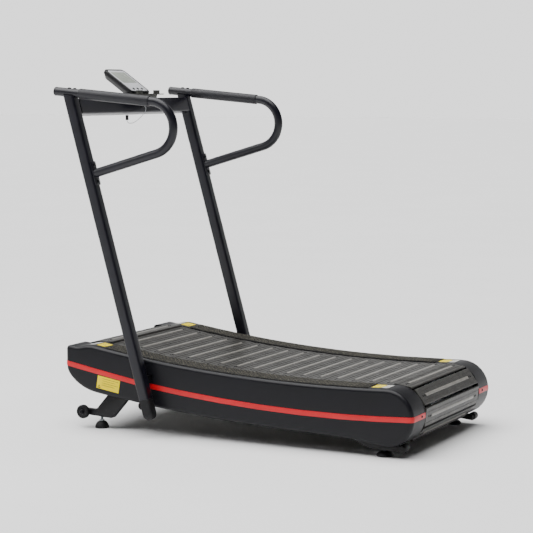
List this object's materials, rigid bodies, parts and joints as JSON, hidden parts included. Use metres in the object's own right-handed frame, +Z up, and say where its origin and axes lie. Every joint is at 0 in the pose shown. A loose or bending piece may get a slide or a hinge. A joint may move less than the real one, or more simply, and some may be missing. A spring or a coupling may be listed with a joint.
{
  "type": "curved manual treadmill",
  "caption": "Motorless curved treadmill: a sagging endless slat deck on two drums, side covers with a trim stripe, raked uprights, looped handles and a small console.",
  "frame": {"origin": "on the floor, under the middle of the whole machine's box", "axes": "+X towards the rear, where the runner steps on; +Y to the runner's right; +Z up"},
  "size_m": [1.4108, 0.8776, 1.3266],
  "materials": {
    "frame_paint": "satin powder coat",
    "tube_paint": "semi-gloss powder coat",
    "cover_shell": "fine-grained moulded plastic",
    "console_shell": "moulded plastic",
    "button_plastic": "moulded plastic",
    "stripe": "satin",
    "step_grit": "gritted anti-slip",
    "slat": "ribbed rubber-faced slats",
    "steel": "machined",
    "rubber": "moulded",
    "cap_plastic": "moulded",
    "grip_foam": "closed-cell foam",
    "console_face": "printed overlay",
    "key_plastic": "moulded",
    "cord_plastic": "braided",
    "clip_plastic": "moulded"
  },
  "bodies": {
    "base": {"frame_rail_left": "frame_paint", "frame_rail_right": "frame_paint", "cross_tube_front": "frame_paint", "cross_tube_middle": "frame_paint", "cross_tube_rear": "frame_paint", "upright_mount_left": "frame_paint", "upright_mount_right": "frame_paint", "front_foot_bracket_left": "frame_paint", "front_foot_bracket_right": "frame_paint", "rear_foot_bracket_left": "frame_paint", "rear_foot_bracket_right": "frame_paint", "front_bearing_left": "frame_paint", "front_bearing_right": "frame_paint", "rear_bearing_left": "frame_paint", "rear_bearing_right": "frame_paint", "front_shield": "frame_paint", "console_bracket": "frame_paint", "upright_left": "tube_paint", "upright_right": "tube_paint", "crossbar": "tube_paint", "handlebar_left": "tube_paint", "handlebar_right": "tube_paint", "side_cover_left": "cover_shell", "side_cover_right": "cover_shell", "console_housing": "console_shell", "trim_stripe_left": "stripe", "trim_stripe_right": "stripe", "step_strip_left": "step_grit", "step_strip_right": "step_grit", "slat_belt": "slat", "bearing_rail_left": "steel", "bearing_rail_right": "steel", "wheel_axle_left": "steel", "wheel_axle_right": "steel", "upright_bolt_left": "steel", "upright_bolt_right": "steel", "rear_lift_peg_left": "rubber", "rear_lift_peg_right": "rubber", "upright_cap_left": "cap_plastic", "upright_cap_right": "cap_plastic", "handle_cap_left": "cap_plastic", "handle_cap_right": "cap_plastic", "grip_left": "grip_foam", "grip_right": "grip_foam", "console_face": "console_face", "tether_cord": "cord_plastic", "tether_clip": "clip_plastic"},
    "front_drum": {"front_drum": "steel"},
    "rear_drum": {"rear_drum": "steel"},
    "wheel_left": {"transport_wheel_left": "rubber"},
    "wheel_right": {"transport_wheel_right": "rubber"},
    "foot_front_left": {"front_levelling_foot_left": "rubber"},
    "foot_front_right": {"front_levelling_foot_right": "rubber"},
    "foot_rear_left": {"rear_levelling_foot_left": "rubber"},
    "foot_rear_right": {"rear_levelling_foot_right": "rubber"},
    "button_mode": {"button_mode": "button_plastic"},
    "button_set": {"button_set": "button_plastic"},
    "button_reset": {"button_reset": "button_plastic"},
    "safety_key": {"safety_key": "key_plastic"}
  },
  "joints": [
    {"name": "front_drum_spin", "type": "hinge", "parent": "base", "child": "front_drum", "pos_m": [-0.588, 0, 0.235], "axis": [0, 1, 0], "continuous": true},
    {"name": "rear_drum_spin", "type": "hinge", "parent": "base", "child": "rear_drum", "pos_m": [0.602, 0, 0.1385], "axis": [0, 1, 0], "continuous": true},
    {"name": "wheel_left_spin", "type": "hinge", "parent": "base", "child": "wheel_left", "pos_m": [-0.622, -0.3615, 0.06], "axis": [0, 1, 0], "continuous": true},
    {"name": "wheel_right_spin", "type": "hinge", "parent": "base", "child": "wheel_right", "pos_m": [-0.622, 0.3615, 0.06], "axis": [0, 1, 0], "continuous": true},
    {"name": "foot_front_left_level", "type": "slide", "parent": "base", "child": "foot_front_left", "axis": [0, 0, 1], "range_m": [-0.004, 0.006]},
    {"name": "foot_front_right_level", "type": "slide", "parent": "base", "child": "foot_front_right", "axis": [0, 0, 1], "range_m": [-0.004, 0.006]},
    {"name": "foot_rear_left_level", "type": "slide", "parent": "base", "child": "foot_rear_left", "axis": [0, 0, 1], "range_m": [-0.004, 0.006]},
    {"name": "foot_rear_right_level", "type": "slide", "parent": "base", "child": "foot_rear_right", "axis": [0, 0, 1], "range_m": [-0.004, 0.006]},
    {"name": "button_mode_press", "type": "slide", "parent": "base", "child": "button_mode", "axis": [-0.5678, 0, -0.8231], "range_m": [0, 0.001], "stiffness_N_per_m": 600},
    {"name": "button_set_press", "type": "slide", "parent": "base", "child": "button_set", "axis": [-0.5678, 0, -0.8231], "range_m": [0, 0.001], "stiffness_N_per_m": 600},
    {"name": "button_reset_press", "type": "slide", "parent": "base", "child": "button_reset", "axis": [-0.5678, 0, -0.8231], "range_m": [0, 0.001], "stiffness_N_per_m": 600},
    {"name": "safety_key_pull", "type": "slide", "parent": "base", "child": "safety_key", "axis": [0, 0, -1], "range_m": [0, 0.008]}
  ],
  "couplings": [
    {"joint": "front_drum_spin", "follows": "rear_drum_spin", "ratio": 1.3385}
  ]
}
